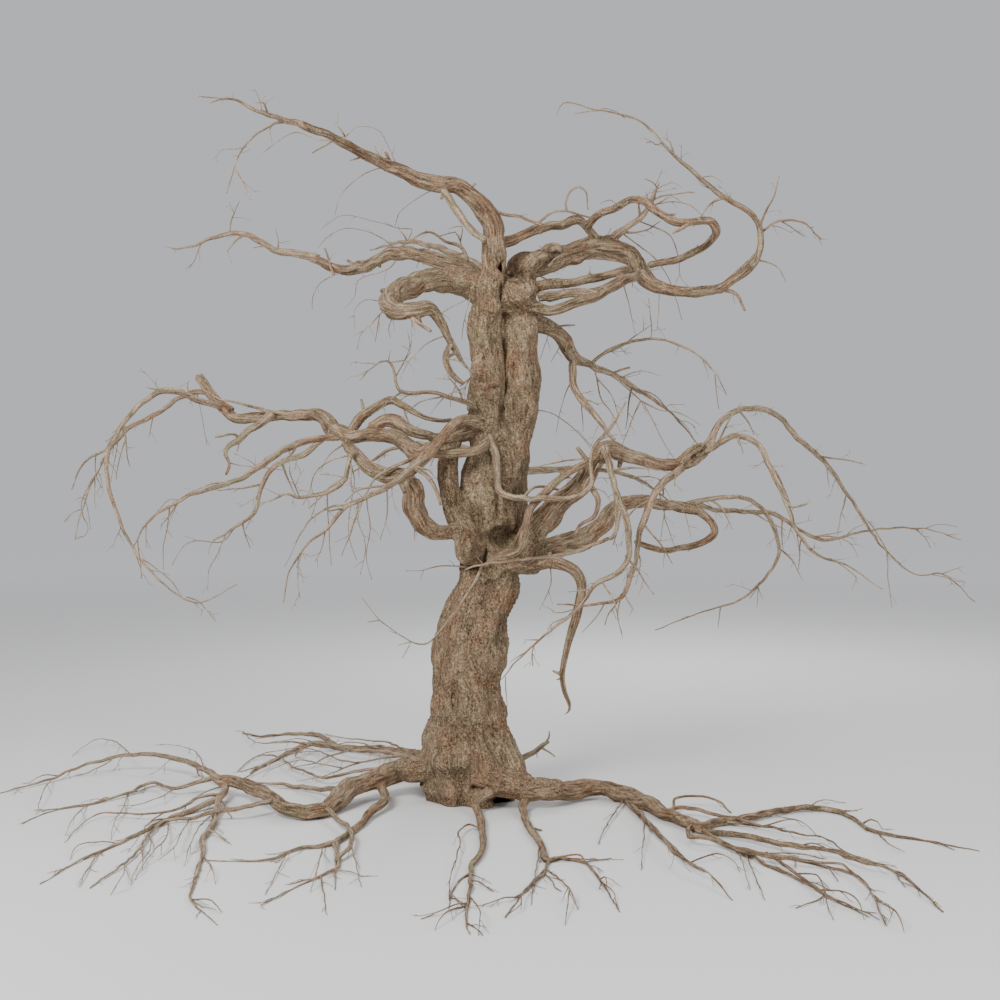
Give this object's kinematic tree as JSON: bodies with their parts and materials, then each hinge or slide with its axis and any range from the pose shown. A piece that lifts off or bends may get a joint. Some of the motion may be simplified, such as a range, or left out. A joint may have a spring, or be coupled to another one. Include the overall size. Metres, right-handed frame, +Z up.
{
  "type": "dead tree",
  "caption": "Large bare dead tree with a trunk of fused stems, looping crooked boughs, long thin whips and spreading surface roots, cut flat under the trunk.",
  "frame": {"origin": "on the flat cut under the trunk, at ground level", "axes": "+Z up the trunk, +X to the right and +Y to the back as the tree is usually seen"},
  "size_m": [11.7886, 8.7778, 7.3698],
  "materials": {
    "trunk_bark": "matte",
    "bough_bark": "matte",
    "root_bark": "matte",
    "twig_bark": "matte",
    "rootlet_bark": "matte"
  },
  "bodies": {
    "root": {"bough_back_high": "bough_bark", "bough_back_low": "bough_bark", "bough_bridge_left": "bough_bark", "bough_cage_high": "bough_bark", "bough_cage_low": "bough_bark", "bough_connector": "bough_bark", "bough_curl": "bough_bark", "bough_curl_return": "bough_bark", "bough_far_left": "bough_bark", "bough_far_right": "bough_bark", "bough_fold_left": "bough_bark", "bough_hanging": "bough_bark", "bough_high_left": "bough_bark", "bough_hook_left": "bough_bark", "bough_hook_left_arm": "bough_bark", "bough_inner_loop": "bough_bark", "bough_inner_loop_low": "bough_bark", "bough_low_left": "bough_bark", "bough_low_right": "bough_bark", "bough_outer_loop": "bough_bark", "bough_right_behind": "bough_bark", "bough_right_front": "bough_bark", "bough_right_loop": "bough_bark", "bough_top_left": "bough_bark", "bough_top_right": "bough_bark", "bough_upper_right": "bough_bark", "root_back_left": "root_bark", "root_front_left": "root_bark", "root_front_right": "root_bark", "root_left": "root_bark", "root_right": "root_bark", "rootlets_back_left": "rootlet_bark", "rootlets_front_left": "rootlet_bark", "rootlets_front_right": "rootlet_bark", "rootlets_left_back": "rootlet_bark", "rootlets_left_front": "rootlet_bark", "rootlets_left_near": "rootlet_bark", "rootlets_right_far": "rootlet_bark", "rootlets_right_low": "rootlet_bark", "trunk": "trunk_bark", "twigs_back_high": "twig_bark", "twigs_back_low": "twig_bark", "twigs_curl": "twig_bark", "twigs_far_left": "twig_bark", "twigs_far_right_high": "twig_bark", "twigs_far_right_low": "twig_bark", "twigs_front_left": "twig_bark", "twigs_front_vine": "twig_bark", "twigs_high_left": "twig_bark", "twigs_inner_left": "twig_bark", "twigs_inner_right": "twig_bark", "twigs_left_inner": "twig_bark", "twigs_left_low": "twig_bark", "twigs_left_upper": "twig_bark", "twigs_right_behind": "twig_bark", "twigs_right_hanging": "twig_bark", "twigs_right_inner": "twig_bark", "twigs_top_left": "twig_bark", "twigs_top_right": "twig_bark", "twigs_upper_right": "twig_bark"}
  },
  "joints": []
}
